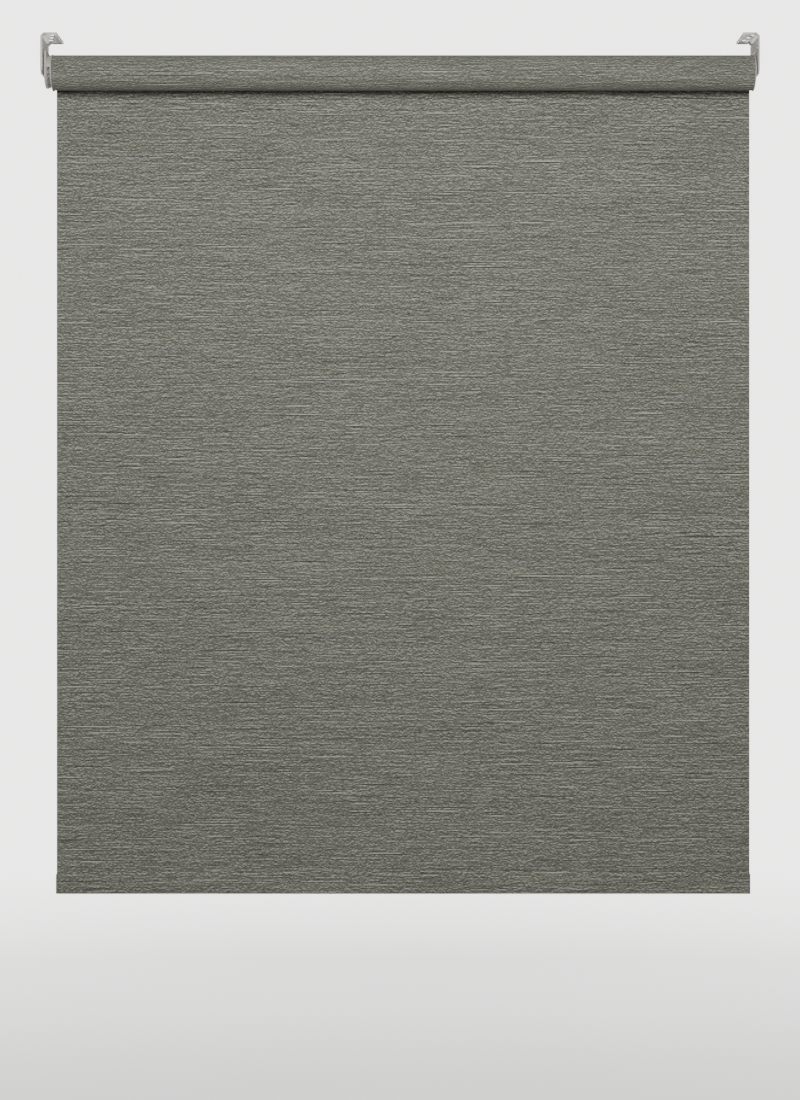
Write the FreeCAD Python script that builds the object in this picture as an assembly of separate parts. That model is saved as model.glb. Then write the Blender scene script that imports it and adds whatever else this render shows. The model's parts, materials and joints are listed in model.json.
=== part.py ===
import FreeCAD, Part
import math
import os

# Roller blind for a window recess. Two identical end brackets are fixed under the head of the
# recess. A tube with the wound cloth runs between them: a chain-driven clutch carries its left
# end, and a sprung idle pin its right end. The cloth hangs off the back of the roll and ends in
# a hem pocket with a weighted bar.
#
# Frame (mm): +X to the right as seen from the room, +Y towards the window, +Z up. The origin is
# on the left bracket's top face, at the centre of its middle fixing slot. The roller's axis is
# parallel to X, straight below the origin.

# ---- driving dimensions -----------------------------------------------------------------------
WIDTH = 878.6  # outer face to outer face of the brackets
DROP = 1061.0  # top face of the brackets to the bottom of the hem, blind lowered
AXIS_DROP = 44.0  # top face of the brackets to the roller's axis

GAP = 0.3  # between pieces that must not touch
RUN = 0.06  # radial clearance of a shaft that turns in a bore
FIT = 0.1  # radial clearance of a plug pushed into a tube

BRACKET_DEPTH = 56.0
SHEET_T = 1.5
PLATE_BELOW_AXIS = 6.0
PLATE_CORNER_R = 9.0
TOP_W = 20.1  # how far the top flange reaches inwards
ELBOW = 4.0  # leg of the flat that cuts the outer corner
RIM_W = 1.5
RIM_H = 1.1  # how far the rims stand out of the sheet
GUSSET_LEG = 6.5
GUSSET_T = 1.6
GUSSET_INSET = 4.0  # from the bracket's edge to the gusset's outer side
BEAD_DROP = 16.5  # top face to the bead pressed along the plate
BEAD_H = 1.6
BEAD_INSET = 7.0
SLOT_W = 5.0
SLOT_L = 10.5
SLOT_FROM_OUTER = 9.5  # outer face to the middle slot's centre
SLOT_PITCH_Y = 14.0
SLOT_STEP_X = 3.2  # each slot lies this much further out than the one in front of it
SIDE_HOLE_R = 2.2
SIDE_HOLE_DROP = 10.5
SIDE_HOLE_Y = 17.0  # either side of the middle
HUB_HOLE_R = 4.0
LUG_W = 4.0
LUG_H = 8.0
LUG_Y = 9.0
LUG_ABOVE_AXIS = 12.0

HOUSING_T = 3.0
HOUSING_PAST_WHEEL = 0.8
HOUSING_TOP_DROP = 20.0  # top face of the brackets to the housing's shoulder
HOUSING_EDGE_R = 2.0

BALL_R = 2.25  # the bead chain that the wheel takes
BALL_PITCH = 6.0
BALL_ROOM = 0.1
POCKETS = 18
CORD_GROOVE_W = 1.6
CORD_GROOVE_DEPTH = 1.0
WHEEL_W = 4.4
WHEEL_ABOVE_PITCH = 1.4  # rim outside the circle of the beads' centres
GUARD_T = 1.3
GUARD_GAP = 0.5  # between the guard and a seated bead
GUARD_END_DEG = 18.0  # the guard's ends lie this far above the axis
GUARD_TAB = 3.0

CORE_R = 8.0
CORE_L = 40.0
NOSE_R = 5.0
NOSE_L = 8.0
SCREW_R = 1.7
SCREW_L = 9.0
SCREW_HEAD_R = 3.4
SCREW_HEAD_T = 2.2
WASHER_R = 6.5
WASHER_T = 1.0
WRAP_COUNT = 3
WRAP_TURNS = 8
WRAP_WIRE = 1.2
WRAP_TANG = 1.6  # how far a tang stands out of its coil
WHEEL_SLEEVE_T = 1.4

TUBE_R = 20.0
TUBE_WALL = 1.2
KEY_W = 3.0
KEY_H = 1.2
SLEEVE_L = 48.0
SLEEVE_WALL = 4.0
SLEEVE_END_T = 4.0
DRIVE_RIB_W = 3.0
DRIVE_FLANGE_T = 1.0
DRIVE_FLANGE_PROUD = 0.7  # outside the roll when the blind is down

IDLE_FLANGE_T = 1.2
IDLE_FLANGE_PROUD = 0.5
IDLE_L = 34.0
IDLE_WALL = 2.0
IDLE_HUB_WALL = 1.8
IDLE_FRONT_T = 6.0
IDLE_REAR_T = 3.0
IDLE_WEB_T = 2.0
PIN_R = 2.5
PIN_COLLAR_W = 1.9  # how far the collar stands out of the pin
PIN_COLLAR_T = 1.5
PIN_TAIL_R = 1.5
CLIP_R = 3.4
CLIP_T = 0.8
CLIP_GROOVE = 0.4
SPRING_WIRE = 0.9
SPRING_TURNS = 12

CLOTH_T = 0.42
CLOTH_LAYERS = 4  # layers left on the tube when the blind is down
CLOTH_INSET = 0.3  # tube end to cloth edge
TAPE_T = 0.15
TAPE_SEAT = 0.1  # clear above and below the tape
TAPE_W = 12.0

HEM_H = 25.4
HEM_T = 5.0
BAR_H = 22.0
BAR_T = 3.4
BAR_WALL = 0.8
CAP_PROUD = 0.8  # how far an end cap stands out of the hem
SPIGOT_L = 12.0
SPIGOT_GAP = 0.2

# ---- places that follow from them ---------------------------------------------------------------
X_LEFT = -SLOT_FROM_OUTER
X_RIGHT = X_LEFT + WIDTH
Z_AXIS = -AXIS_DROP

PLATE_ROOM = SHEET_T + RIM_H  # what the plate and its rim take up
X_HOUSING = X_LEFT + PLATE_ROOM + GAP
X_CHANNEL = X_HOUSING + HOUSING_T
X_WHEEL = X_CHANNEL + GAP
X_WHEEL_END = X_WHEEL + WHEEL_W
X_DRIVE_FLANGE = X_WHEEL_END + GAP
X_TUBE = X_DRIVE_FLANGE + DRIVE_FLANGE_T
X_IDLE_FACE = X_RIGHT - PLATE_ROOM - GAP
X_TUBE_END = X_IDLE_FACE - IDLE_FLANGE_T
TUBE_L = X_TUBE_END - X_TUBE
X_CLOTH = X_TUBE + CLOTH_INSET
CLOTH_W = TUBE_L - 2 * CLOTH_INSET

TUBE_IN_R = TUBE_R - TUBE_WALL
PLUG_R = TUBE_IN_R - FIT
ROLL_R = TUBE_R + CLOTH_LAYERS * CLOTH_T
PITCH_R = POCKETS * BALL_PITCH / (2 * math.pi)
WHEEL_R = PITCH_R + WHEEL_ABOVE_PITCH
GUARD_IN_R = PITCH_R + BALL_R + GUARD_GAP
HOUSING_R = WHEEL_R + HOUSING_PAST_WHEEL
DRIVE_FLANGE_R = ROLL_R + DRIVE_FLANGE_PROUD
IDLE_FLANGE_R = ROLL_R + IDLE_FLANGE_PROUD
PIN_COLLAR_R = PIN_R + PIN_COLLAR_W
IDLE_CHAMBER_R = PIN_COLLAR_R + GAP
IDLE_HUB_R = IDLE_CHAMBER_R + IDLE_HUB_WALL
X_CORE_END = X_CHANNEL + CORE_L
X_NOSE_END = X_CORE_END + NOSE_L
SPRING_OUT_R = CORE_R + RUN + WRAP_WIRE
WHEEL_SLEEVE_IN_R = SPRING_OUT_R + GAP
WHEEL_SLEEVE_R = WHEEL_SLEEVE_IN_R + WHEEL_SLEEVE_T
X_WHEEL_SLEEVE_END = X_CORE_END - GAP
WRAP_L = WRAP_TURNS * WRAP_WIRE
SLEEVE_IN_R = PLUG_R - SLEEVE_WALL

PANEL_Y = ROLL_R + GAP  # the face of the hanging cloth that looks at the room
PANEL_MID_Y = PANEL_Y + CLOTH_T / 2
Z_BOTTOM = -DROP
Z_HEM_TOP = Z_BOTTOM + HEM_H
Z_HEM_MID = Z_BOTTOM + HEM_H / 2


# ---- shapes used more than once -----------------------------------------------------------------
def box(x0, x1, y0, y1, z0, z1):
    return Part.makeBox(x1 - x0, y1 - y0, z1 - z0, FreeCAD.Vector(x0, y0, z0))


def rod(x0, x1, radius):
    """A solid round bar on the roller's axis."""
    start = FreeCAD.Vector(x0, 0, Z_AXIS)
    return Part.makeCylinder(radius, x1 - x0, start, FreeCAD.Vector(1, 0, 0))


def ring(x0, x1, outer, inner):
    return rod(x0, x1, outer).cut(rod(x0, x1, inner))


def fused(shapes):
    whole = shapes[0]
    for shape in shapes[1:]:
        whole = whole.fuse(shape)
    return whole.removeSplitter()


def turned(shape, degrees):
    """A copy turned about the roller's axis."""
    copy = shape.copy()
    copy.rotate(FreeCAD.Vector(0, 0, Z_AXIS), FreeCAD.Vector(1, 0, 0), degrees)
    return copy


def prism_x(points, x0, x1):
    """A straight-edged outline of (y, z) points, drawn out along X."""
    corners = [FreeCAD.Vector(x0, y, z) for y, z in points]
    face = Part.Face(Part.makePolygon(corners + corners[:1]))
    return face.extrude(FreeCAD.Vector(x1 - x0, 0, 0))


def stadium_z(x, y, width, length, z0, z1):
    """A slot's filling: round-ended, long along Y, upright."""
    half = (length - width) / 2
    shapes = [box(x - width / 2, x + width / 2, y - half, y + half, z0, z1)]
    for end in (y - half, y + half):
        shapes.append(Part.makeCylinder(width / 2, z1 - z0, FreeCAD.Vector(x, end, z0)))
    return fused(shapes)


def stadium_x(x0, x1, thickness, height):
    """A flat bar with round long edges, centred in the hem and running along X."""
    half = (height - thickness) / 2
    y0 = PANEL_MID_Y - thickness / 2
    shapes = [box(x0, x1, y0, y0 + thickness, Z_HEM_MID - half, Z_HEM_MID + half)]
    for z in (Z_HEM_MID - half, Z_HEM_MID + half):
        start = FreeCAD.Vector(x0, PANEL_MID_Y, z)
        shapes.append(Part.makeCylinder(thickness / 2, x1 - x0, start, FreeCAD.Vector(1, 0, 0)))
    return fused(shapes)


def coil(x0, turns, pitch, wire, inner):
    """A coil spring about the roller's axis: a thin sleeve with one round bead to each turn."""
    middle = inner + wire / 2
    shapes = [ring(x0, x0 + turns * pitch, middle + wire / 8, inner)]
    for turn in range(turns):
        centre = FreeCAD.Vector(x0 + (turn + 0.5) * pitch, 0, Z_AXIS)
        bead = Part.makeTorus(middle, wire / 2, centre, FreeCAD.Vector(1, 0, 0))
        shapes.append(bead.cut(rod(x0 - wire, x0 + turns * pitch + wire, inner)))
    return fused(shapes)


# ---- brackets -----------------------------------------------------------------------------------
# Each is modelled with its outer face at x = 0, its top face at z = 0 and its middle at y = 0.
HALF_DEPTH = BRACKET_DEPTH / 2
Z_PLATE_LOW = Z_AXIS - PLATE_BELOW_AXIS


def bent_sheet():
    """The bent sheet: top flange, a flat across the corner, and the upright plate."""
    inner = SHEET_T * math.tan(math.radians(22.5))  # the inside of a 45 degree bend
    outline = [
        (ELBOW, 0),
        (TOP_W, 0),
        (TOP_W, -SHEET_T),
        (ELBOW + inner, -SHEET_T),
        (SHEET_T, -ELBOW - inner),
        (SHEET_T, Z_PLATE_LOW),
        (0, Z_PLATE_LOW),
        (0, -ELBOW),
    ]
    corners = [FreeCAD.Vector(x, -HALF_DEPTH, z) for x, z in outline]
    face = Part.Face(Part.makePolygon(corners + corners[:1]))
    return face.extrude(FreeCAD.Vector(0, BRACKET_DEPTH, 0))


def rims():
    """The turned edges: three round the flange, and one down the plate's near edge."""
    low = -SHEET_T - RIM_H
    x0 = ELBOW + SHEET_T
    deep = SHEET_T + RIM_H
    return [
        box(x0, TOP_W, -HALF_DEPTH, RIM_W - HALF_DEPTH, low, -SHEET_T),
        box(x0, TOP_W, HALF_DEPTH - RIM_W, HALF_DEPTH, low, -SHEET_T),
        box(TOP_W - RIM_W, TOP_W, -HALF_DEPTH, HALF_DEPTH, low, -SHEET_T),
        box(SHEET_T, deep, -HALF_DEPTH, RIM_W - HALF_DEPTH, Z_PLATE_LOW, -ELBOW - SHEET_T),
    ]


def gusset(y):
    """A small triangle across the inside of the corner."""
    corners = [
        FreeCAD.Vector(SHEET_T / 2, y, -GUSSET_LEG - SHEET_T),
        FreeCAD.Vector(GUSSET_LEG + SHEET_T, y, -SHEET_T / 2),
        FreeCAD.Vector(ELBOW, y, -SHEET_T / 2),
        FreeCAD.Vector(SHEET_T / 2, y, -ELBOW),
    ]
    face = Part.Face(Part.makePolygon(corners + corners[:1]))
    return face.extrude(FreeCAD.Vector(0, GUSSET_T, 0))


def plate_holes():
    """The hub hole, the two lug holes and the two side-fixing holes."""
    past = PLATE_ROOM + GAP
    z_lug = Z_AXIS + LUG_ABOVE_AXIS
    holes = [rod(-GAP, past, HUB_HOLE_R)]
    for side in (-1, 1):
        y0 = side * LUG_Y - LUG_W / 2
        holes.append(box(-GAP, past, y0, y0 + LUG_W, z_lug - LUG_H / 2, z_lug + LUG_H / 2))
        start = FreeCAD.Vector(-GAP, side * SIDE_HOLE_Y, -SIDE_HOLE_DROP)
        holes.append(Part.makeCylinder(SIDE_HOLE_R, past + GAP, start, FreeCAD.Vector(1, 0, 0)))
    return holes


def top_slots():
    """Three slots that step outwards from front to back."""
    slots = []
    for place in (-1, 0, 1):
        x = SLOT_FROM_OUTER - place * SLOT_STEP_X
        y = place * SLOT_PITCH_Y
        slots.append(stadium_z(x, y, SLOT_W, SLOT_L, -SHEET_T - GAP, GAP))
    return slots


def bracket():
    y_bead = HALF_DEPTH - BEAD_INSET
    bead = box(SHEET_T, PLATE_ROOM, -y_bead, y_bead, -BEAD_DROP - BEAD_H, -BEAD_DROP)
    shapes = [bent_sheet()] + rims() + [bead]
    for y in (GUSSET_INSET - HALF_DEPTH, HALF_DEPTH - GUSSET_INSET - GUSSET_T):
        shapes.append(gusset(y))
    whole = fused(shapes)
    for hole in plate_holes() + top_slots():
        whole = whole.cut(hole)
    low_corners = [
        edge
        for edge in whole.Edges
        if abs(edge.BoundBox.ZMax - Z_PLATE_LOW) < GAP
        and abs(abs(edge.BoundBox.YMax) - HALF_DEPTH) < GAP
        and edge.BoundBox.YLength < GAP
    ]
    return whole.makeFillet(PLATE_CORNER_R, low_corners)


def placed_brackets():
    left = bracket()
    left.translate(FreeCAD.Vector(X_LEFT, 0, 0))
    right = bracket()
    right.rotate(FreeCAD.Vector(0, 0, 0), FreeCAD.Vector(0, 0, 1), 180)
    right.translate(FreeCAD.Vector(X_RIGHT, 0, 0))
    return left, right


# ---- clutch at the left end ---------------------------------------------------------------------
def control_housing():
    """A U-shaped cheek with the boss and the two lugs that sit in the left bracket."""
    z_top = -HOUSING_TOP_DROP
    cheek = rod(X_HOUSING, X_CHANNEL, HOUSING_R)
    cheek = cheek.fuse(box(X_HOUSING, X_CHANNEL, -HOUSING_R, HOUSING_R, Z_AXIS, z_top))
    cheek = cheek.removeSplitter()
    corners = [
        edge
        for edge in cheek.Edges
        if abs(edge.BoundBox.ZMin - z_top) < GAP and edge.BoundBox.XLength > HOUSING_T - GAP
    ]
    cheek = cheek.makeFillet(HOUSING_EDGE_R, corners)
    shapes = [cheek, rod(X_LEFT + GAP, X_HOUSING, HUB_HOLE_R - FIT)]
    z_lug = Z_AXIS + LUG_ABOVE_AXIS
    half_w = LUG_W / 2 - FIT
    half_h = LUG_H / 2 - FIT
    for y in (-LUG_Y, LUG_Y):
        shapes.append(
            box(X_LEFT + GAP, X_HOUSING, y - half_w, y + half_w, z_lug - half_h, z_lug + half_h)
        )
    return fused(shapes)


def chain_guard():
    """A curved strip over the chain wheel, joined to the cheek, with a tab at each end."""
    outer = GUARD_IN_R + GUARD_T
    whole = ring(X_CHANNEL, X_WHEEL_END, outer, GUARD_IN_R)
    reach = 2 * outer
    drop = reach * math.tan(math.radians(GUARD_END_DEG))
    below = [
        (0, Z_AXIS),
        (reach, Z_AXIS + drop),
        (reach, Z_AXIS - reach),
        (-reach, Z_AXIS - reach),
        (-reach, Z_AXIS + drop),
    ]
    strip = whole.cut(prism_x(below, X_CHANNEL - GAP, X_WHEEL_END + GAP))
    z_end = Z_AXIS + GUARD_IN_R * math.sin(math.radians(GUARD_END_DEG))
    y_end = GUARD_IN_R * math.cos(math.radians(GUARD_END_DEG))
    tabs = [
        box(X_CHANNEL, X_WHEEL_END, -y_end - GUARD_T, -y_end, z_end - GUARD_TAB, z_end + GUARD_T),
        box(X_CHANNEL, X_WHEEL_END, y_end, y_end + GUARD_T, z_end - GUARD_TAB, z_end + GUARD_T),
    ]
    return fused([strip] + tabs)


def control_core():
    """The fixed shaft that the wheel and the wrap springs turn on, with the bearing nose."""
    core = fused([rod(X_CHANNEL, X_CORE_END, CORE_R), rod(X_CORE_END, X_NOSE_END, NOSE_R)])
    return core.cut(rod(X_NOSE_END - SCREW_L - GAP, X_NOSE_END + GAP, SCREW_R + FIT))


def core_washer():
    return ring(X_NOSE_END, X_NOSE_END + WASHER_T, WASHER_R, SCREW_R + FIT)


def core_screw():
    x_head = X_NOSE_END + WASHER_T
    shank = rod(X_NOSE_END - SCREW_L, x_head, SCREW_R)
    head = rod(x_head, x_head + SCREW_HEAD_T, SCREW_HEAD_R)
    cross = [
        box(x_head + SCREW_HEAD_T / 2, x_head + SCREW_HEAD_T, -a, a, Z_AXIS - b, Z_AXIS + b)
        for a, b in ((SCREW_R, SCREW_R / 4), (SCREW_R / 4, SCREW_R))
    ]
    return fused([shank, head]).cut(cross[0]).cut(cross[1])


def chain_wheel():
    """The wheel with its ring of bead pockets, and the sleeve that reaches over the springs."""
    wheel = ring(X_WHEEL, X_WHEEL_END, WHEEL_R, CORE_R + RUN)
    x_mid = (X_WHEEL + X_WHEEL_END) / 2
    half = CORD_GROOVE_W / 2
    wheel = wheel.cut(ring(x_mid - half, x_mid + half, WHEEL_R + GAP, PITCH_R - CORD_GROOVE_DEPTH))
    pocket = Part.makeSphere(BALL_R + BALL_ROOM, FreeCAD.Vector(x_mid, -PITCH_R, Z_AXIS))
    for number in range(POCKETS):
        wheel = wheel.cut(turned(pocket, number * 360.0 / POCKETS))
    sleeve = ring(X_WHEEL_END, X_WHEEL_SLEEVE_END, WHEEL_SLEEVE_R, WHEEL_SLEEVE_IN_R)
    window = box(
        X_WHEEL_END + GAP,
        X_WHEEL_SLEEVE_END + GAP,
        -WRAP_TANG,
        WRAP_TANG,
        Z_AXIS,
        Z_AXIS + WHEEL_SLEEVE_R + GAP,
    )
    return fused([wheel, sleeve.cut(window)])


def wrap_spring(number):
    """One close-wound clutch spring on the core, with a tang in the wheel sleeve's window."""
    room = X_WHEEL_SLEEVE_END - X_WHEEL_END
    pitch = room / WRAP_COUNT
    x0 = X_WHEEL_END + number * pitch + (pitch - WRAP_L) / 2
    spring = coil(x0, WRAP_TURNS, WRAP_WIRE, WRAP_WIRE, CORE_R + RUN)
    tang = box(
        x0,
        x0 + WRAP_WIRE,
        -WRAP_WIRE / 2,
        WRAP_WIRE / 2,
        Z_AXIS + CORE_R + WRAP_WIRE / 2,
        Z_AXIS + SPRING_OUT_R + WRAP_TANG,
    )
    return fused([spring, tang])


# ---- roller -------------------------------------------------------------------------------------
def keys(x0, x1, width, root_r, tip_r):
    """Two bars along X on opposite sides of the axis, from root_r in to tip_r."""
    half = width / 2
    return [
        box(x0, x1, -half, half, Z_AXIS + tip_r, Z_AXIS + root_r),
        box(x0, x1, -half, half, Z_AXIS - root_r, Z_AXIS - tip_r),
    ]


def tube():
    """The round tube with two key ribs inside, which the end plugs engage."""
    shell = ring(X_TUBE, X_TUBE_END, TUBE_R, TUBE_IN_R)
    ribs = keys(X_TUBE, X_TUBE_END, KEY_W, TUBE_R - TUBE_WALL / 2, TUBE_IN_R - KEY_H)
    return fused([shell] + ribs)


def key_ways(x0, x1):
    """What a plug loses so that the tube's ribs can slide along it."""
    return keys(x0, x1, KEY_W + 2 * FIT, TUBE_IN_R, TUBE_IN_R - KEY_H - FIT)


def drive_sleeve():
    """The plug that the clutch turns: a flange, a barrel with two drive ribs, a bearing end."""
    x_end = X_TUBE + SLEEVE_L
    flange = ring(X_DRIVE_FLANGE, X_TUBE, DRIVE_FLANGE_R, WHEEL_SLEEVE_R + GAP)
    barrel = ring(X_TUBE, x_end, PLUG_R, SLEEVE_IN_R)
    x_wall = X_CORE_END + GAP
    wall = ring(x_wall, x_wall + SLEEVE_END_T, SLEEVE_IN_R + GAP, NOSE_R + RUN)
    ribs = keys(X_TUBE, x_wall, DRIVE_RIB_W, SLEEVE_IN_R + GAP, WHEEL_SLEEVE_R + GAP)
    plug = fused([flange, barrel, wall] + [turned(rib, 90) for rib in ribs])
    for way in key_ways(X_TUBE, x_end + GAP):
        plug = plug.cut(way)
    return plug


def idle_x(inwards):
    """A place measured inwards from the idle plug's outer face."""
    return X_IDLE_FACE - inwards


def idle_plug():
    """The right-hand plug: a flange, a barrel, and a hub that guides the sprung pin."""
    inner_end = IDLE_FLANGE_T + IDLE_L
    rear = IDLE_L - IDLE_REAR_T
    shapes = [
        rod(X_TUBE_END, X_IDLE_FACE, IDLE_FLANGE_R),
        ring(idle_x(inner_end), X_TUBE_END, PLUG_R, PLUG_R - IDLE_WALL),
        rod(idle_x(inner_end), X_TUBE_END, IDLE_HUB_R),
        rod(X_TUBE_END - IDLE_WEB_T, X_TUBE_END, PLUG_R),
        box(idle_x(inner_end), X_TUBE_END, IDLE_WALL - PLUG_R, PLUG_R - IDLE_WALL,
            Z_AXIS - IDLE_WEB_T / 2, Z_AXIS + IDLE_WEB_T / 2),
    ]
    plug = fused(shapes)
    plug = plug.cut(rod(idle_x(IDLE_FRONT_T), X_IDLE_FACE + GAP, PIN_R + RUN))
    plug = plug.cut(rod(idle_x(rear), idle_x(IDLE_FRONT_T), IDLE_CHAMBER_R))
    plug = plug.cut(rod(idle_x(inner_end) - GAP, idle_x(rear), PIN_TAIL_R + RUN))
    for way in key_ways(idle_x(inner_end) - GAP, X_TUBE_END):
        plug = plug.cut(way)
    return plug


def idle_pin():
    """The sprung pin: its tip sits in the right bracket's bush, its tail runs out at the back."""
    collar = IDLE_FRONT_T + GAP
    tail_end = IDLE_FLANGE_T + IDLE_L + GAP + CLIP_T + CLIP_GROOVE
    tip = rod(idle_x(collar), X_RIGHT - GAP, PIN_R)
    shapes = [
        tip.makeChamfer(PIN_R / 5, [tip.Edges[0] if tip.Edges[0].BoundBox.XMax > X_IDLE_FACE
                                    else tip.Edges[2]]),
        rod(idle_x(collar + PIN_COLLAR_T), idle_x(collar), PIN_COLLAR_R),
        rod(idle_x(tail_end), idle_x(collar + PIN_COLLAR_T), PIN_TAIL_R),
    ]
    clip_at = IDLE_FLANGE_T + IDLE_L + GAP
    groove = ring(idle_x(clip_at + CLIP_T), idle_x(clip_at), CLIP_R, PIN_TAIL_R - CLIP_GROOVE)
    return fused(shapes).cut(groove)


def idle_pin_clip():
    """An open ring clip in the groove of the pin's tail, which stops the pin at the plug."""
    clip_at = IDLE_FLANGE_T + IDLE_L + GAP
    clip = ring(idle_x(clip_at + CLIP_T), idle_x(clip_at), CLIP_R, PIN_TAIL_R - CLIP_GROOVE)
    half = PIN_TAIL_R - CLIP_GROOVE
    mouth = box(idle_x(clip_at + CLIP_T), idle_x(clip_at), -half, half, Z_AXIS, Z_AXIS + CLIP_R)
    return clip.cut(mouth)


def idle_spring():
    start = IDLE_L - IDLE_REAR_T - GAP
    end = IDLE_FRONT_T + GAP + PIN_COLLAR_T + GAP
    pitch = (start - end) / SPRING_TURNS
    inner = PIN_TAIL_R + 2 * GAP
    return coil(idle_x(start), SPRING_TURNS, pitch, SPRING_WIRE, inner)


def idle_bush():
    """The bearing bush in the right bracket's hub hole."""
    return ring(X_RIGHT - PLATE_ROOM, X_RIGHT - GAP, HUB_HOLE_R - FIT, PIN_R + RUN)


# ---- cloth --------------------------------------------------------------------------------------
def fabric_roll():
    """The cloth left on the tube when the blind is down."""
    return ring(X_CLOTH, X_CLOTH + CLOTH_W, ROLL_R, TUBE_R + TAPE_SEAT + TAPE_T + TAPE_SEAT)


def fabric_tape():
    """The adhesive strip along the tube that holds the cloth's first edge."""
    inner = TUBE_R + TAPE_SEAT
    strip = ring(X_CLOTH, X_CLOTH + CLOTH_W, inner + TAPE_T, inner)
    half = TAPE_W / 2
    return strip.common(box(X_CLOTH, X_CLOTH + CLOTH_W, -half, half, Z_AXIS, Z_AXIS + ROLL_R))


def fabric_panel():
    """The hanging cloth, from the back of the roll down to the hem."""
    z_low = Z_HEM_TOP + GAP
    return box(X_CLOTH, X_CLOTH + CLOTH_W, PANEL_Y, PANEL_Y + CLOTH_T, z_low, Z_AXIS)


def hem_pocket():
    """The closed loop of cloth round the bar."""
    x_end = X_CLOTH + CLOTH_W
    loop = stadium_x(X_CLOTH, x_end, HEM_T, HEM_H)
    return loop.cut(stadium_x(X_CLOTH, x_end, HEM_T - 2 * CLOTH_T, HEM_H - 2 * CLOTH_T))


def bottom_bar():
    """The weighted bar, a flat tube as long as the cloth is wide."""
    x_end = X_CLOTH + CLOTH_W
    bar = stadium_x(X_CLOTH, x_end, BAR_T, BAR_H)
    return bar.cut(stadium_x(X_CLOTH, x_end, BAR_T - 2 * BAR_WALL, BAR_H - 2 * BAR_WALL))


def bar_cap(x_hem, side):
    """An end cap: a cheek that closes the pocket and a spigot in the bar."""
    x_out = x_hem + side * CAP_PROUD
    x_in = x_hem - side * SPIGOT_L
    shrink = 2 * BAR_WALL + 2 * SPIGOT_GAP
    cheek = stadium_x(min(x_hem, x_out), max(x_hem, x_out), HEM_T, HEM_H)
    spigot = stadium_x(min(x_hem, x_in), max(x_hem, x_in), BAR_T - shrink, BAR_H - shrink)
    return fused([cheek, spigot])


def blind():
    """Every piece by its name."""
    left, right = placed_brackets()
    pieces = {
        "bracket_left": left,
        "bracket_right": right,
        "control_housing": control_housing(),
        "chain_guard": chain_guard(),
        "control_core": control_core(),
        "core_washer": core_washer(),
        "core_screw": core_screw(),
        "chain_wheel": chain_wheel(),
        "tube": tube(),
        "drive_sleeve": drive_sleeve(),
        "idle_plug": idle_plug(),
        "idle_pin": idle_pin(),
        "idle_pin_clip": idle_pin_clip(),
        "idle_spring": idle_spring(),
        "idle_bush": idle_bush(),
        "fabric_roll": fabric_roll(),
        "fabric_tape": fabric_tape(),
        "fabric_panel": fabric_panel(),
        "hem_pocket": hem_pocket(),
        "bottom_bar": bottom_bar(),
        "bar_cap_left": bar_cap(X_CLOTH, -1),
        "bar_cap_right": bar_cap(X_CLOTH + CLOTH_W, 1),
    }
    for number in range(WRAP_COUNT):
        pieces["wrap_spring_%d" % (number + 1)] = wrap_spring(number)
    return pieces


os.makedirs("parts", exist_ok=True)
for name, shape in blind().items():
    shape.exportStep("parts/" + name + ".step")
    print(name, shape.isValid(), len(shape.Solids), round(shape.Volume, 1))
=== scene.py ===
# %% [markdown]
# # A roller blind
#
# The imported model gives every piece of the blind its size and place: two brackets, a chain-driven
# clutch, a tube with a little cloth wound on it, the hanging cloth, and a weighted bar in a hem.
# It comes in as a frame that stays as it is. This lesson builds what the eye sees on that frame:
# cloth made from real sheets, edges softened as a press or a mould leaves them, a wound spring,
# and a finish for every piece. Lengths are in metres. +X runs to the right, +Y to the window, and
# +Z up.

# %% Load the frame
import json
import math

import bpy
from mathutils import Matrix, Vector, noise

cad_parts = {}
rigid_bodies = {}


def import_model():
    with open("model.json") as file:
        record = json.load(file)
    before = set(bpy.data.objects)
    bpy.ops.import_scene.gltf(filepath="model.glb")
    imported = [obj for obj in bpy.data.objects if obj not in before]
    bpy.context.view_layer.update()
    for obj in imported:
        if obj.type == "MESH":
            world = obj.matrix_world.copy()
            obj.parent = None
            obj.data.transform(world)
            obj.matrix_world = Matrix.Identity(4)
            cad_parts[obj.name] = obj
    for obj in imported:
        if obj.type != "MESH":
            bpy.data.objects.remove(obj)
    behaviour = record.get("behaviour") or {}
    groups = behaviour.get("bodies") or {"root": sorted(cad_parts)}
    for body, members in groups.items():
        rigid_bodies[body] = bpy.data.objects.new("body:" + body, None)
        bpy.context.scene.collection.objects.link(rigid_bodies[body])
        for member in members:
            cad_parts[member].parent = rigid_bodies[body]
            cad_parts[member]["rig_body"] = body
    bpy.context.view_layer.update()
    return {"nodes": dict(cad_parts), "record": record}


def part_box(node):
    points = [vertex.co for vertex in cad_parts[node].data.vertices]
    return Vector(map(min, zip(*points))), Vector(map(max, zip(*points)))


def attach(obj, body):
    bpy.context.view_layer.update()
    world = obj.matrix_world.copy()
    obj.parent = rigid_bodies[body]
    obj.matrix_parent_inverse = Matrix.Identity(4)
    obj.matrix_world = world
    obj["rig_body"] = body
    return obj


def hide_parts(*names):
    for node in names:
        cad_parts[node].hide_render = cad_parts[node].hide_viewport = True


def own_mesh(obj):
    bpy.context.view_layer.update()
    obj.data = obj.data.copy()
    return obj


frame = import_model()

MM = 0.001

# %% [markdown]
# ## The places that the cloth needs
#
# All positions come from the frame's own boxes. The roller's axis is the middle of the tube, and
# the cloth hangs down behind the roll, so the sheet leaves the roll at its back, level with the
# axis. Reading the numbers here once keeps the later steps short.

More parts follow.
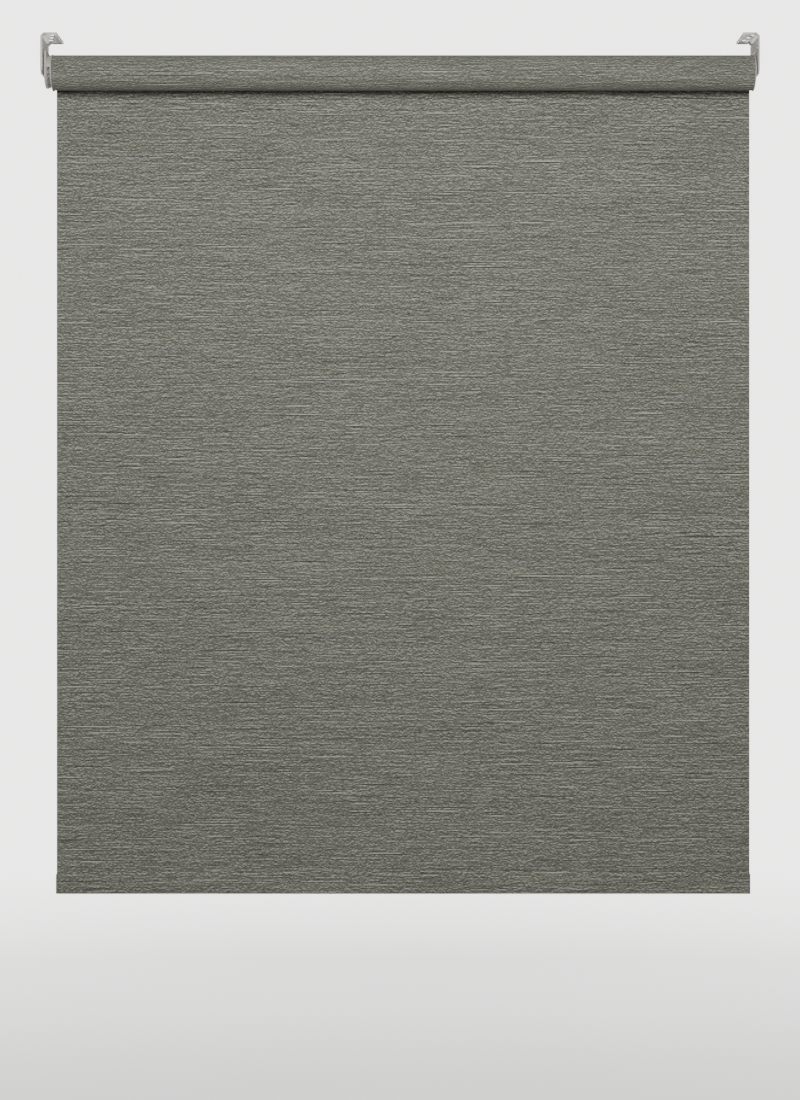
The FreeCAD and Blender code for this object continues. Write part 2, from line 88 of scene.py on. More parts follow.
# %% Read the main places
tube_low, tube_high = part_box("tube")
panel_low, panel_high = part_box("fabric_panel")
hem_low, hem_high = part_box("hem_pocket")
AXIS_Z = (tube_low.z + tube_high.z) / 2
ROLL_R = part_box("fabric_roll")[1].z - AXIS_Z
X_LEFT, X_RIGHT = panel_low.x, panel_high.x
PANEL_Y = (panel_low.y + panel_high.y) / 2
CLOTH_T = panel_high.y - panel_low.y
print("axis at", round(AXIS_Z, 4), "and roll radius", round(ROLL_R, 5))
print("cloth from", round(X_LEFT, 4), "to", round(X_RIGHT, 4))

# %% [markdown]
# ## The camera
#
# A blind is looked at from the middle of the room, square on, and the whole of it is in view. The
# camera stands level at about half the blind's height. What it sees is moved down a little by the
# lens shift and not by a tilt, which keeps the upright edges upright.

# %% Place the camera
CAMERA_AT = Vector((0.4298, -2.5846, -0.5832))
LENS_MM = 68.56
SHIFT_DOWN = -0.03636  # as a share of the picture's longer side
lens = bpy.data.cameras.new("camera")
lens.lens = LENS_MM
lens.shift_y = SHIFT_DOWN
camera = bpy.data.objects.new("camera", lens)
camera.location = CAMERA_AT
camera.rotation_euler = (math.radians(90), 0, 0)
bpy.context.scene.collection.objects.link(camera)
bpy.context.scene.camera = camera
print("camera at", tuple(round(v, 3) for v in CAMERA_AT))

# %% [markdown]
# ## Colours and nodes
#
# A colour is picked as a hex code, as on a paint chart, but a shader works with linear light, so
# one function turns the one into the other. A second function adds any node, sets it and links it
# in one call, and hands back an output that the next call can take. With these two every finish
# below reads from the pattern to the shader. Two more save repeating: one starts a material, and
# the other stretches a noise to a size in millimetres.

# %% Define the colour and node helpers
def linear(code):
    """An sRGB hex code as the linear colour that a shader takes."""
    parts = [int(code[i : i + 2], 16) / 255 for i in (0, 2, 4)]
    return [p / 12.92 if p <= 0.04045 else ((p + 0.055) / 1.055) ** 2.4 for p in parts] + [1.0]


def add(tree, kind, *terms, give=0, stops=(), **settings):
    """Adds one node with its settings and links, and gives one of its outputs.

    Terms fill its inputs in order. A setting with a capital is an input, and any other is a
    property. A value may be another node's output. Stops are a ramp's places and hex codes.
    """
    node = tree.nodes.new("ShaderNode" + kind)
    inputs = dict(enumerate(terms))
    for name, value in settings.items():
        if name[0].isupper():
            inputs[name.replace("_", " ")] = value
        else:
            setattr(node, name, value)
    for name, value in inputs.items():
        if isinstance(value, bpy.types.NodeSocket):
            tree.links.new(value, node.inputs[name])
        else:
            node.inputs[name].default_value = value
    for _ in stops[2:]:
        node.color_ramp.elements.new(0.5)
    for number, (position, code) in enumerate(stops):
        node.color_ramp.elements[number].position = position
        node.color_ramp.elements[number].color = linear(code)
    return node.outputs[give]


def new_finish(name, **values):
    """A material, its tree and its shader, with the values that are the same all over."""
    material = bpy.data.materials.new(name)
    material.use_nodes = True
    shader = material.node_tree.nodes["Principled BSDF"]
    for socket, value in values.items():
        shader.inputs[socket.replace("_", " ")].default_value = value
    return material, material.node_tree, shader


def stretched_noise(tree, place, along, across, offset, detail=1.0):
    """A pattern whose grains are about `along` mm long in X and `across` mm high.

    The offset moves it to a place of its own, so that no two patterns line up.
    """
    size = [1 / (length * MM) for length in (along, across, across)]
    mapped = add(tree, "Mapping", place, Scale=size, Location=offset)
    return add(tree, "TexNoise", give="Fac", Vector=mapped, Scale=1.0, Detail=detail)


print("mid grey in linear light:", round(linear("808080")[0], 3))

# %% [markdown]
# ## The threads of the cloth
#
# The blind's cloth is woven from polyester, with slub yarn as the weft: each thread across runs
# thick and thin, lighter and darker, in stretches from a few millimetres to a hand's breadth, and
# stands out beside the thin shadow under it. An image of a weave would repeat, so the threads are
# worked out. The height on the cloth is cut into rows, each row gets its own random start in a
# noise, and the noise runs along the row. Taking a share of the next row's value away darkens each
# thread beside its neighbour, a painted shadow in the cloth's colour. Real threads are about 0.4 mm
# apart, which is too fine to show from across a room, so a row here stands for three or four of
# them.

# %% Define the threads
ROW_MM = 1.5  # height of a row
THREADS = [  # length of a stretch in mm, weight, share of the next row taken away as painted shadow, how sparse
    (2.8, 1.38, 0.4, 0.0),
    (9.0, 0.62, 0.7, 0.0),
    (24.0, 0.46, 1.0, 0.0),
    (70.0, 0.44, 1.0, 6.4),
]
FAR_APART = (80.0, 80.0, 80.0)  # how far apart in the noise the rows may start
OWN_ROWS = 1000.0  # keeps the row numbers of each kind of thread apart


def thread(tree, across, row, length):
    """How light a row's thread is at that place across, in stretches of that length in mm."""
    start = add(tree, "TexWhiteNoise", give="Color", W=row, noise_dimensions="1D")
    run = add(tree, "CombineXYZ", add(tree, "Math", across, length * MM, operation="DIVIDE"))
    spot = add(tree, "VectorMath", start, FAR_APART, run, operation="MULTIPLY_ADD")
    value = add(tree, "TexNoise", give="Fac", Vector=spot, Scale=1.0, Detail=1.0)
    return add(tree, "Math", value, 0.5, operation="SUBTRACT")


def slubs_with_painted_shadow(tree, across, row, length, painted_shadow, sparse):
    """A row's thread less a share of its neighbour's, as a painted shadow. Sparse fades weak
    stretches and keeps strong ones.
    """
    own = thread(tree, across, row, length)
    shadowing_thread = thread(tree, across, add(tree, "Math", row, 1.0, operation="ADD"), length)
    # painted shadow: a share of the neighbouring row's thread darkens this row's tone
    value = add(tree, "Math", shadowing_thread, -painted_shadow, own, operation="MULTIPLY_ADD")
    if not sparse:
        return value
    strength = add(tree, "Math", value, operation="ABSOLUTE")
    strength = add(tree, "Math", strength, sparse, operation="MULTIPLY")
    return add(tree, "Math", value, strength, operation="MULTIPLY")


def all_threads(tree, across, row):
    """The threads of every length, added up by their weights."""
    total = 0.0
    for number, (length, weight, painted_shadow, sparse) in enumerate(THREADS):
        own_rows = add(tree, "Math", row, OWN_ROWS * number, operation="ADD")
        value = slubs_with_painted_shadow(tree, across, own_rows, length, painted_shadow, sparse)
        total = add(tree, "Math", value, weight, total, operation="MULTIPLY_ADD")
    return total


print("kinds of thread:", len(THREADS), "in rows of", ROW_MM, "mm")

# %% [markdown]
# ## The smaller things on the cloth
#
# Threads alone would look printed. On real cloth fibres speckle the yarn, rows stray a little and
# so run thick and thin, the dyeing leaves soft broad bands, and the grey drifts from warm to cool.
# Each of these is a size in millimetres and a weight, so they are set down together, where they
# are easy to compare.

# %% Set the cloth's patterns and colours
STRAY = (260.0, 6.0, 0.3)  # how rows stray: length, height and amount, all in mm
THREAD_PROFILE = (3.2, 0.35)  # a thread's tone is strongest along its middle
SPECKLE = (1.6, 1.1, 0.55)  # fibres: length, height in mm, and weight
BANDS = (110.0, 14.0, 0.13)  # soft broad bands: the same three
DRIFT = (40.0, 12.0)  # patches of warmer and cooler grey: length and height in mm
TONES = [(0.0, "31312d"), (0.5, "63645c"), (1.0, "a5a59b")]
TINTS = [(0.35, "fefefe"), (0.65, "fffffa")]
RELIEF_MM, RELIEF_SHARE = 0.1, 0.1  # height of the rib, and how much of it the light sees
YARN_RELIEF = 0.8  # how much a light thread stands out, beside the rib's height
ALONG_UV = "along_the_cloth"  # across in U and the length along the sheet in V, in metres
print("the cloth's greys:", [code for _, code in TONES])

# %% [markdown]
# ## The cloth's finish
#
# Polyester cloth is matt, with a faint sheen at a grazing angle. On the flat cloth the height is
# the Z of the object's own coordinates. On the wound cloth that would squeeze the rows at the top
# of the roll, so there it is the length along the sheet, from its UV map. The wound cloth's
# contrast is a little lower.

# %% Make the cloth's finishes
def woven_finish(name, contrast, uv_map=None):
    """The cloth, with its rows counted up its Z, or up the V of a UV map."""
    material, tree, shader = new_finish(name, Roughness=0.86, Sheen_Weight=0.12, IOR=1.57,
                                        Sheen_Roughness=0.5, Specular_IOR_Level=0.25)
    if uv_map:
        place = add(tree, "UVMap", uv_map=uv_map)
    else:
        place = add(tree, "TexCoord", give="Object")
    across = add(tree, "SeparateXYZ", place)
    upward = across.node.outputs["Y" if uv_map else "Z"]

    stray = stretched_noise(tree, place, STRAY[0], STRAY[1], (3.0, 1.0, 7.0))
    stray = add(tree, "Math", stray, 0.5, operation="SUBTRACT")
    height = add(tree, "Math", stray, STRAY[2] * MM, upward, operation="MULTIPLY_ADD")
    level = add(tree, "Math", height, ROW_MM * MM, operation="DIVIDE")
    row = add(tree, "Math", level, operation="FLOOR")
    up_row = add(tree, "Math", level, operation="FRACT")
    down_row = add(tree, "Math", 1.0, up_row, operation="SUBTRACT")
    rib = add(tree, "Math", up_row, down_row, operation="MULTIPLY")

    profile = add(tree, "Math", rib, *THREAD_PROFILE, operation="MULTIPLY_ADD")
    profile = add(tree, "Math", profile, contrast, operation="MULTIPLY")
    yarn = all_threads(tree, across, row)
    yarn = add(tree, "Math", yarn, profile, 0.5, operation="MULTIPLY_ADD")
    for along, high, weight in (SPECKLE, BANDS):
        value = stretched_noise(tree, place, along, high, (4.0, 4.0, 4.0))
        value = add(tree, "Math", value, 0.5, operation="SUBTRACT")
        yarn = add(tree, "Math", value, weight, yarn, operation="MULTIPLY_ADD")

    # the yarn value carries each thread's painted shadow into the base colour
    tone = add(tree, "ValToRGB", yarn, stops=TONES)
    drift = stretched_noise(tree, place, *DRIFT, (1.0, 9.0, 4.0))
    tint = add(tree, "ValToRGB", drift, stops=TINTS)
    colour = add(tree, "VectorMath", tone, tint, operation="MULTIPLY")
    tree.links.new(colour, shader.inputs["Base Color"])
    relief = add(tree, "Math", yarn, YARN_RELIEF, rib, operation="MULTIPLY_ADD")
    bump = add(tree, "Bump", Height=relief, Distance=RELIEF_MM * MM, Strength=RELIEF_SHARE)
    tree.links.new(bump, shader.inputs["Normal"])
    print(name, "has", len(tree.nodes), "nodes")
    return material


cloth = woven_finish("woven_slub_polyester", 1.0)
wound_cloth_finish = woven_finish("woven_slub_polyester_wound", 0.8, ALONG_UV)

# %% [markdown]
# ## Coated and moulded finishes
#
# The brackets are pressed steel with a light grey powder coat, and the clutch and plugs are moulded
# plastic in darker greys. They could each be one flat colour, but a coat or a mould always
# leaves a skin, and the skin is what breaks up a highlight. One function makes them all: two close
# tones in soft patches, and a fine bump whose grain is a real size in millimetres.

# %% Make the coated and moulded finishes
PATCHES = 90.0  # soft patches of tone, about 11 mm across
SKIN_SHARE = 0.4  # how much of the skin's depth the light sees


def skin_finish(name, pale, dark, grain, depth, **values):
    """A coated or moulded surface. Grain and depth are its skin's, in mm."""
    material, tree, shader = new_finish(name, **values)
    place = add(tree, "TexCoord", give="Object")
    patch = add(tree, "TexNoise", give="Fac", Vector=place, Scale=PATCHES, Detail=3.0)
    colour = add(tree, "ValToRGB", patch, stops=[(0.35, dark), (0.65, pale)])
    tree.links.new(colour, shader.inputs["Base Color"])
    fine = add(tree, "TexNoise", give="Fac", Vector=place, Scale=1 / (grain * MM), Detail=2.0)
    relief = add(tree, "Bump", Height=fine, Distance=depth * MM, Strength=SKIN_SHARE)
    tree.links.new(relief, shader.inputs["Normal"])
    return material


# Powder flows before it sets, which leaves an orange-peel skin and a soft gloss.
powder_coat = skin_finish("powder_coated_steel", "c5c2bb", "bab7b0", 0.7, 0.05, Roughness=0.42)
# A spark-eroded mould gives ABS a finer, more matt grain.
housing_abs = skin_finish("moulded_abs_housing", "aeaba4", "a4a19a", 0.35, 0.03,
                          Roughness=0.5, IOR=1.54)
# Acetal is slippery and a little glossier, and its natural white is greyed.
wheel_acetal = skin_finish("moulded_acetal_wheel", "93918a", "898780", 0.3, 0.02,
                           Roughness=0.4, IOR=1.48)
# Nylon takes a dull shine, and its natural white is greyed less than the acetal's.
plug_nylon = skin_finish("moulded_nylon_plug", "b4b3ad", "a9a8a2", 0.4, 0.03,
                         Roughness=0.45, IOR=1.53)
# Polypropylene caps are coloured to go with the cloth, so they hardly show.
cap_plastic = skin_finish("moulded_polypropylene_cap", "85847c", "7b7a73", 0.35, 0.03,
                          Roughness=0.5, IOR=1.49)
# Adhesive tape is a smooth film, yellowed a little by its glue.
tape_film = skin_finish("adhesive_tape_film", "d8d3c2", "cfc9b6", 0.5, 0.01,
                        Roughness=0.35, IOR=1.49)
print("coated and moulded finishes: 6")

# %% [markdown]
# ## Bare metals
#
# The springs, the pin and the screw are zinc-plated steel, and the tube and the hem's bar are
# aluminium, drawn or extruded along their length. A metal's colour is the colour of its
# reflections. Drawing leaves fine scratches that run the same way, so a noise stretched along X
# drives both the tone and the roughness, and plating gives short soft streaks instead.

# %% Make the bare metals
ROUGH_FROM, ROUGH_TO = 0.28, 0.45  # roughness along the streaks


def metal_finish(name, pale, dark, along, high):
    """A bare metal with streaks of that length along X and that height, in mm."""
    material, tree, shader = new_finish(name, Metallic=1.0)
    place = add(tree, "TexCoord", give="Object")
    streak = stretched_noise(tree, place, along, high, (2.0, 3.0, 5.0), 3.0)
    colour = add(tree, "ValToRGB", streak, stops=[(0.3, dark), (0.7, pale)])
    tree.links.new(colour, shader.inputs["Base Color"])
    rough = add(tree, "MapRange", streak, To_Min=ROUGH_FROM, To_Max=ROUGH_TO)
    tree.links.new(rough, shader.inputs["Roughness"])
    return material


zinc_steel = metal_finish("zinc_plated_steel", "c3c5c8", "a8aaae", 3.0, 1.0)
tube_metal = metal_finish("drawn_aluminium_tube", "c9cacb", "b2b3b5", 60.0, 0.8)
bar_metal = metal_finish("extruded_aluminium_bar", "c4c5c6", "adaeb0", 80.0, 0.6)
print("finishes:", [material.name for material in bpy.data.materials])

# %% [markdown]
# ## Giving the frame's own pieces their finishes
#
# Inside the roller and the hem there are pieces whose shape is already right: the tube, the core,
# the brake springs, the pin, the bar. They stay as they come and only get their material. Each
# one's slot in the record says what it is made of, so a small table from slot to finish does them
# all. The nodes that are softened later get theirs here too, and their copies keep it.

# %% Assign a finish to every frame node
FINISH_OF_SLOT = {
    "bracket_paint": powder_coat,
    "control_plastic": housing_abs,
    "wheel_plastic": wheel_acetal,
    "plug_plastic": plug_nylon,
    "steel": zinc_steel,
    "tube_metal": tube_metal,
    "bar_metal": bar_metal,
    "cloth": cloth,
    "tape": tape_film,
    "cap_plastic": cap_plastic,
}
slot_of_node = {part["node"]: part["material_slot"] for part in frame["record"]["subparts"]}
for name, node in frame["nodes"].items():
    node.data.materials.clear()
    node.data.materials.append(FINISH_OF_SLOT[slot_of_node[name]])
print("nodes with a finish:", len(slot_of_node))

# %% [markdown]
# ## Three helpers for modelling
#
# An operator acts on whatever is selected, so the selection is cleared before each one. Modifiers
# are applied as soon as they are set, which leaves every piece as a plain mesh that looks the same
# everywhere. Curved surfaces are shaded smooth, and real edges are kept.

# %% Define the modelling helpers
def only(piece):
    """Deselects everything else and makes the piece active."""
    bpy.ops.object.select_all(action="DESELECT")
    piece.select_set(True)
    bpy.context.view_layer.objects.active = piece


def apply_modifier(piece, kind, **settings):
    """Adds a modifier with those settings and applies it."""
    only(piece)
    modifier = piece.modifiers.new(kind.lower(), kind)
    for name, value in settings.items():
        setattr(modifier, name, value)
    bpy.ops.object.modifier_apply(modifier=modifier.name)


def smooth(piece, degrees=30):
    """Shades the piece smooth, apart from edges sharper than that angle."""
    only(piece)
    bpy.ops.object.shade_smooth_by_angle(angle=math.radians(degrees))


ROUND_DEG = 50  # for wire and a tight bend, whose faces turn further from one to the next
print("modelling helpers are ready")

# %% [markdown]
# ## The brackets
#
# A real bracket has no knife edges: the press rounds them and the coat fills them, and that radius
# catches the light as a thin bright line. The frame's mesh can't be changed, so a copy is taken,
# its loose triangles are merged, flat faces are made whole again, and a bevel is applied to what is
# left of the sharp edges. The alternative is to model each piece again from nothing, which would
# only risk moving it.

# %% Soften the brackets
MERGE_MM = 0.002
FLAT_DEG = 0.5  # faces nearer to flat than this become one face
EDGE_DEG = 35  # edges sharper than this are rounded
EDGE_CUTS = 2  # faces across a rounded edge


def softened(node, name, radius):
    """A copy of a frame node with its sharp edges rounded to that radius in mm."""
    source = frame["nodes"][node]
    piece = bpy.data.objects.new(name, source.data.copy())
    bpy.context.scene.collection.objects.link(piece)
    only(piece)
    bpy.ops.object.mode_set(mode="EDIT")
    bpy.ops.mesh.select_all(action="SELECT")
    bpy.ops.mesh.remove_doubles(threshold=MERGE_MM * MM)
    bpy.ops.mesh.dissolve_limited(angle_limit=math.radians(FLAT_DEG))
    bpy.ops.object.mode_set(mode="OBJECT")
    apply_modifier(piece, "BEVEL", width=radius * MM, segments=EDGE_CUTS,
                   limit_method="ANGLE", angle_limit=math.radians(EDGE_DEG),
                   use_clamp_overlap=True)
    smooth(piece)
    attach(piece, source["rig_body"])
    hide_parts(node)
    print(name, len(piece.data.polygons), "faces")


softened("bracket_left", "left_bracket", 0.35)
softened("bracket_right", "right_bracket", 0.35)

# %% [markdown]
# ## The clutch's mouldings
#
# The chain control is a moulded cheek with a curved hood over the bead wheel. A mould can't have
# sharp inside corners, so every edge has a small radius, smallest round the wheel's pockets, where
# the beads must still seat.

# %% Soften the clutch's mouldings
softened("control_housing", "clutch_cheek", 0.4)
softened("chain_guard", "chain_hood", 0.25)
softened("chain_wheel", "bead_wheel", 0.12)

# %% [markdown]
# ## The plugs and caps
#
# A plug in each end of the tube turns with it, and only its flange shows. The hem's bar has a small
# cap at each end, which keeps it from sliding out of its pocket. They are made in the same way.

# %% Soften the plugs and caps
softened("drive_sleeve", "drive_plug", 0.2)
softened("idle_plug", "idle_end_plug", 0.2)
softened("bar_cap_left", "left_bar_cap", 0.25)
softened("bar_cap_right", "right_bar_cap", 0.25)

# %% [markdown]
# ## The pin's spring
#
# The sprung pin at the right end is pushed out by a coil spring, which gets shorter when the pin
# is pushed in to free the roller. Wire wound on a mandrel is a round section carried along a
# helix, so that is how it is made: a circle and a Screw modifier. It is drawn round the scene's
# origin first, because the modifier turns about the piece's own axis, and then moved to its place.

# %% Wind the pin's spring
WIRE_R = 0.45 * MM
WIRE_SIDES = 12
SPRING_TURNS = 12
TURN_STEPS = 28
spring_low, spring_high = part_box("idle_spring")
spring_length = spring_high.x - spring_low.x
coil_r = (spring_high.z - spring_low.z) / 2 - WIRE_R
pitch = (spring_length - 2 * WIRE_R) / SPRING_TURNS
bpy.ops.object.select_all(action="DESELECT")
bpy.ops.mesh.primitive_circle_add(vertices=WIRE_SIDES, radius=WIRE_R, location=(0, 0, coil_r))
spring = bpy.context.object
spring.name = "pin_spring"
bpy.ops.object.transform_apply(location=True, rotation=False, scale=False)
apply_modifier(spring, "SCREW", axis="X", screw_offset=pitch, iterations=SPRING_TURNS,
               steps=TURN_STEPS, render_steps=TURN_STEPS, use_normal_calculate=True)
bpy.ops.object.mode_set(mode="EDIT")
bpy.ops.mesh.select_all(action="SELECT")
bpy.ops.mesh.fill_holes(sides=0)
bpy.ops.mesh.normals_make_consistent(inside=False)
bpy.ops.object.mode_set(mode="OBJECT")
start_x = min(vertex.co.x for vertex in spring.data.vertices)
spring.location = (spring_low.x - start_x, 0, AXIS_Z)
bpy.ops.object.transform_apply(location=True, rotation=False, scale=False)
smooth(spring, ROUND_DEG)
spring.data.materials.append(zinc_steel)
print("pin spring:", len(spring.data.polygons), "faces")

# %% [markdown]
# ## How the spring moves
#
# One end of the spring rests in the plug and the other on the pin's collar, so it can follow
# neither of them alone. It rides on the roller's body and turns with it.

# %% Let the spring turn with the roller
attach(spring, "roller")
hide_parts("idle_spring")
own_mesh(spring)

# %% [markdown]
# ## Drawing a sheet from its edge
#
# Each piece of cloth here is straight from side to side, so it is drawn as its side edge, a line
# of points, and pulled out along X. The line is turned into a sheet by extruding it a step at a
# time, which also cuts it into strips, so that it can be moved a little. A Solidify modifier gives
# it its thickness later.

# %% Define the drawn sheet
def drawn_sheet(name, edge, strips):
    """A sheet whose side edge is that line of (y, z) points, as wide as the cloth."""
    mesh = bpy.data.meshes.new(name)
    lines = [(i, i + 1) for i in range(len(edge) - 1)]
    mesh.from_pydata([(X_LEFT, y, z) for y, z in edge], lines, [])
    piece = bpy.data.objects.new(name, mesh)
    bpy.context.scene.collection.objects.link(piece)
    only(piece)
    step = (X_RIGHT - X_LEFT) / strips
    bpy.ops.object.mode_set(mode="EDIT")
    bpy.ops.mesh.select_all(action="SELECT")
    for _ in range(strips):
        bpy.ops.mesh.extrude_region_move(TRANSFORM_OT_translate={"value": (step, 0, 0)})
    bpy.ops.object.mode_set(mode="OBJECT")
    return piece


def face_towards(piece, face, toward):
    """Turns the sheet over if that face of it looks away from that direction."""
    if face.normal.dot(Vector(toward)) < 0:
        piece.data.flip_normals()


def eased(share):
    """Goes smoothly from 0 to 1."""
    share = min(1.0, max(0.0, share))
    return share * share * (3 - 2 * share)


print("a sheet is", round((X_RIGHT - X_LEFT) / MM, 1), "mm wide and",
      round(CLOTH_T / MM, 2), "mm thick")

# %% [markdown]
# ## The hanging cloth
#
# The blind is lowered, so nearly a metre of cloth hangs straight from the back of the roll, held
# flat by the bar. At its top it starts at the roll's surface and eases back into its plane. A cloth
# simulation would only pull it flat again, so the few tenths of a millimetre by which a real one
# ripples are given by smooth noise, fading out at the top and at the hem.

# %% Make the hanging cloth
ROLL_LAYER_T = 0.30 * MM  # a layer pressed on the roll
TANGENT_Y = ROLL_R - ROLL_LAYER_T / 2
EASE = 60 * MM  # height over which it eases into its plane
ROWS, STRIPS = 110, 64
RIPPLE = 0.35 * MM
RIPPLE_ACROSS, RIPPLE_DOWN = 5, 7  # ripples to a metre
CALM_TOP, CALM_FOOT = 120 * MM, 50 * MM  # heights over which the ripple fades out
WELD_H = 3.0 * MM  # the seam band above the bar
OVER_HEM = 2.0 * MM  # how far above the frame's hem that band starts
SEAM_TOP = hem_high.z + WELD_H + OVER_HEM

edge = []
for row in range(ROWS + 1):
    z = AXIS_Z + (SEAM_TOP - AXIS_Z) * row / ROWS
    edge.append((TANGENT_Y + (PANEL_Y - TANGENT_Y) * eased((AXIS_Z - z) / EASE), z))
hanging = drawn_sheet("hanging_cloth", edge, STRIPS)
face_towards(hanging, hanging.data.polygons[0], (0, -1, 0))
for vertex in hanging.data.vertices:
    x, y, z = vertex.co
    loose = eased((AXIS_Z - z) / CALM_TOP) * eased((z - SEAM_TOP) / CALM_FOOT)
    wave = noise.noise(Vector((x * RIPPLE_ACROSS, 0, z * RIPPLE_DOWN)))
    vertex.co.y += RIPPLE * loose * wave
apply_modifier(hanging, "SOLIDIFY", thickness=CLOTH_T, offset=0.0)
smooth(hanging)
hanging.data.materials.append(cloth)
print("hanging cloth:", len(hanging.data.polygons), "faces")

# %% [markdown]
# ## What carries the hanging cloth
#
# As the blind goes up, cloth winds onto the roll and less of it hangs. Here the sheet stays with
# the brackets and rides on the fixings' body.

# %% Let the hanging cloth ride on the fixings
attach(hanging, "fixings")
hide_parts("fabric_panel")
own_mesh(hanging)

# %% [markdown]
# ## The cloth on the roll
#
# With the blind down, a few turns stay on the tube so that the pull never reaches the tape. A
# plain cylinder would do from the front, but the roll's ends would show no layers, so the sheet is
# wound as a real spiral: it leaves the hanging cloth at the back, goes up over the top and ends on
# the tape.

# %% Wind the cloth on the roll
TURNS = 3.25
STEP_DEG = 5
ROLL_STRIPS = 16
OFF_TAPE = 0.25 * MM  # the innermost layer's middle, above the tape
outer_r = ROLL_R - ROLL_LAYER_T / 2
inner_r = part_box("fabric_tape")[1].z - AXIS_Z + OFF_TAPE
steps = round(TURNS * 360 / STEP_DEG)
edge = []
for number in range(steps + 1):
    angle = math.radians(number * STEP_DEG)
    radius = outer_r + (inner_r - outer_r) * number / steps
    edge.append((radius * math.cos(angle), AXIS_Z + radius * math.sin(angle)))
wound = drawn_sheet("wound_cloth", edge, ROLL_STRIPS)
middle = wound.data.polygons[len(wound.data.polygons) // 2]
face_towards(wound, middle, (0, middle.center.y, middle.center.z - AXIS_Z))
print("wound cloth:", TURNS, "turns in", steps, "steps")

# %% [markdown]
# ## The wound cloth's threads
#
# The finish counts its rows along the sheet, so each point of the spiral gets its length along the
# cloth as its V. It starts from the axis's height, which is the Z that the hanging cloth has where
# the two meet.

# %% Lay the length along the wound cloth
lengths = [0.0]
for one, other in zip(edge, edge[1:]):
    lengths.append(lengths[-1] + math.dist(one, other))
uv = wound.data.uv_layers.new(name=ALONG_UV)
for loop in wound.data.loops:
    x, y, z = wound.data.vertices[loop.vertex_index].co
    nearest = min(range(len(edge)), key=lambda i: math.dist(edge[i], (y, z)))
    uv.data[loop.index].uv = (x, AXIS_Z + lengths[nearest])
apply_modifier(wound, "SOLIDIFY", thickness=ROLL_LAYER_T, offset=0.0)
smooth(wound)
wound.data.materials.append(wound_cloth_finish)
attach(wound, "roller")
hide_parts("fabric_roll")

# %% [markdown]
# ## The hem
#
# The cloth's lower end is turned back round the bar and welded to itself. From the front that
# shows only as a slight swelling, and from behind as the cut edge of the turned part and the line
# of the weld. The loop is drawn as one line from the top of the front layer, down round the bar,
# and up to the cut edge at the back.

# %% Draw the hem's loop
SWELL_H = 5.5 * MM  # where the two layers part to go round the bar
SWELL_STEPS, SIDE_STEPS, BEND_STEPS = 12, 4, 12
half_gap = (hem_high.y - hem_low.y) / 2 - CLOTH_T / 2
bend_z = hem_low.z + half_gap + CLOTH_T / 2
front, back = [], []
for number in range(SWELL_STEPS + 1):
    share = number / SWELL_STEPS
    z = SEAM_TOP - WELD_H - SWELL_H * share
    front.append((PANEL_Y - half_gap * eased(share), z))
    back.append((PANEL_Y + CLOTH_T + (half_gap - CLOTH_T) * eased(share), z))
side_zs = [front[-1][1] + (bend_z - front[-1][1]) * n / SIDE_STEPS for n in range(1, SIDE_STEPS)]
bend = []
for number in range(BEND_STEPS + 1):
    angle = math.pi + math.pi * number / BEND_STEPS
    bend.append((PANEL_Y + half_gap * math.cos(angle), bend_z + half_gap * math.sin(angle)))
loop = [(PANEL_Y, SEAM_TOP), (PANEL_Y, SEAM_TOP - WELD_H / 2)] + front
loop += [(PANEL_Y - half_gap, z) for z in side_zs]
loop += bend
loop += [(PANEL_Y + half_gap, z) for z in reversed(side_zs)]
loop += back[::-1] + [(PANEL_Y + CLOTH_T, SEAM_TOP - WELD_H / 2), (PANEL_Y + CLOTH_T, SEAM_TOP)]

# %% [markdown]
# ## The hem's cloth
#
# The loop becomes a sheet in the same way as the other two. Its lowest face must look down, which
# tells which way out is. It goes up with the bar, so it rides on the hem's body.

# %% Make the hem's cloth
hem = drawn_sheet("hem_cloth", loop, STRIPS)
lowest = min(hem.data.polygons, key=lambda face: face.center.z)
face_towards(hem, lowest, (0, 0, -1))
apply_modifier(hem, "SOLIDIFY", thickness=CLOTH_T, offset=0.0)
smooth(hem, ROUND_DEG)
hem.data.materials.append(cloth)
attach(hem, "hem")
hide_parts("hem_pocket")
print("hem cloth:", len(hem.data.polygons), "faces")

# %% [markdown]
# ## The floor
#
# A plain pale floor lies below the blind, which hangs clear of it. A floor that simply ended would
# cut across the picture, so it fades out towards its rim, and it is bright enough to go over into
# the surround without a line.

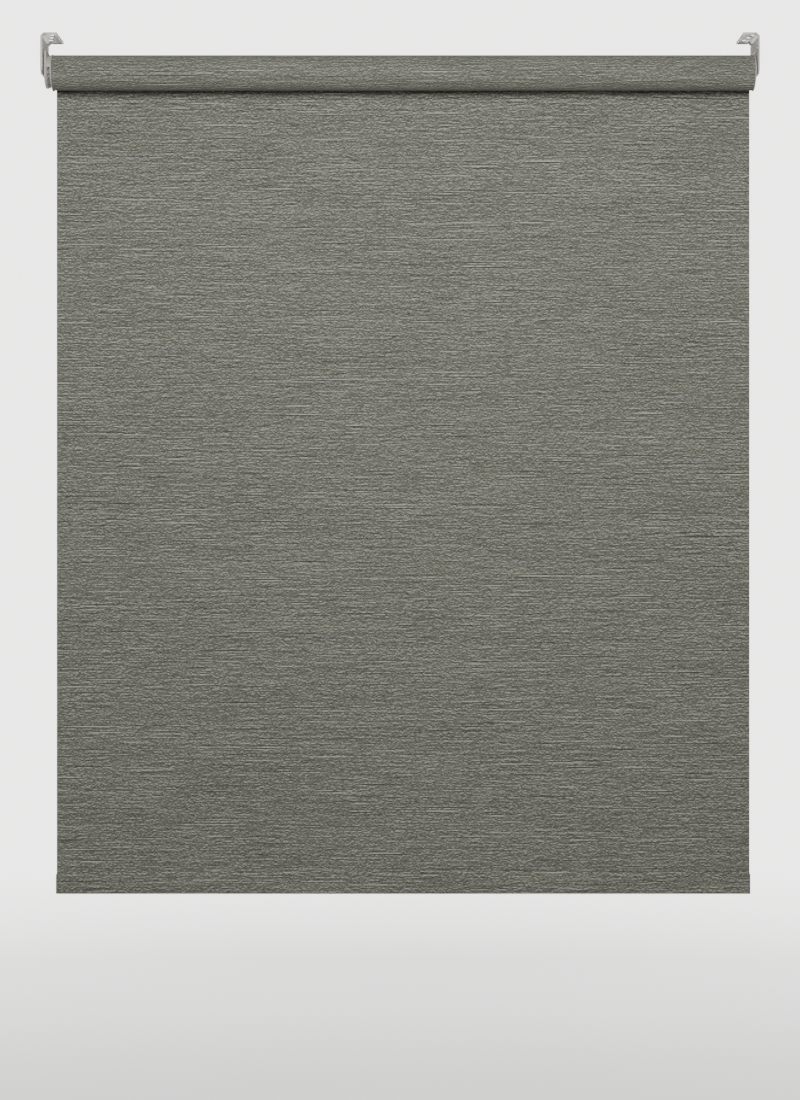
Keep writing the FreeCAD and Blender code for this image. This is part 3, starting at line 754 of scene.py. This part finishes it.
# %% Lay the floor
MIDDLE_X = 0.43
FLOOR_Z = -1.5
FLOOR_R = 3.0
FADE_FROM = 0.7  # the floor is whole as far as this from its middle
FLOOR_SEEN = 0.8  # how bright the floor looks; it throws no light of its own
PALE = "f6f6f4"
bpy.ops.object.select_all(action="DESELECT")
bpy.ops.mesh.primitive_circle_add(vertices=96, radius=FLOOR_R, fill_type="NGON",
                                  location=(MIDDLE_X, 0, FLOOR_Z))
floor = bpy.context.object
floor.name = "floor"
floor_paint, tree, shader = new_finish("matt_floor_paint", Roughness=0.9,
                                       Emission_Color=linear(PALE))
place = add(tree, "TexCoord", give="Object")
speckle = add(tree, "TexNoise", give="Fac", Vector=place, Scale=3.0)
speckle = add(tree, "ValToRGB", speckle, stops=[(0.3, "f1f0ee"), (0.7, "f5f4f2")])
tree.links.new(speckle, shader.inputs["Base Color"])
far = add(tree, "VectorMath", place, operation="LENGTH", give="Value")
fade = add(tree, "MapRange", far, interpolation_type="SMOOTHSTEP",
           From_Min=FADE_FROM, From_Max=FLOOR_R, To_Min=1.0, To_Max=0.0)
tree.links.new(fade, shader.inputs["Alpha"])
seen = add(tree, "LightPath", give="Is Camera Ray")
glow = add(tree, "Math", seen, FLOOR_SEEN, operation="MULTIPLY")
tree.links.new(glow, shader.inputs["Emission Strength"])
floor.data.materials.append(floor_paint)
print("floor at", FLOOR_Z)

# %% [markdown]
# ## The surround and the lights
#
# An even pale surround fills the shadows, as the walls of a studio do. It looks brighter behind
# the blind than the light that it gives, so that the pale brackets still stand out. The main light
# is one large soft box in front, level with the top of the blind, and a weaker one behind shows
# the back of the cloth.

# %% Set the lights
FILL, BACKDROP = 0.24, 4.0  # light from the surround, and how bright it looks behind the blind
world = bpy.data.worlds.new("surround")
world.use_nodes = True
sky = world.node_tree
seen = add(sky, "LightPath", give="Is Camera Ray")
strength = add(sky, "MapRange", seen, To_Min=FILL, To_Max=BACKDROP)
background = sky.nodes["Background"]
background.inputs["Color"].default_value = linear(PALE)
sky.links.new(strength, background.inputs["Strength"])
bpy.context.scene.world = world


def soft_box(name, at, target, width, height, power):
    """A rectangular area light that looks at the target."""
    lamp = bpy.data.lights.new(name, "AREA")
    lamp.shape = "RECTANGLE"
    lamp.size, lamp.size_y, lamp.energy = width, height, power
    made = bpy.data.objects.new(name, lamp)
    made.location = at
    made.rotation_euler = (Vector(target) - Vector(at)).to_track_quat("-Z", "Y").to_euler()
    made.visible_camera = False
    bpy.context.scene.collection.objects.link(made)


soft_box("rear_box", (MIDDLE_X, 1.8, -0.6), (MIDDLE_X, 0, -0.4), 1.6, 0.8, 28)
soft_box("front_box", (MIDDLE_X, -1.5, 0.1), (MIDDLE_X, 0, -0.3), 1.8, 0.6, 33)
print("two soft boxes and an even surround")
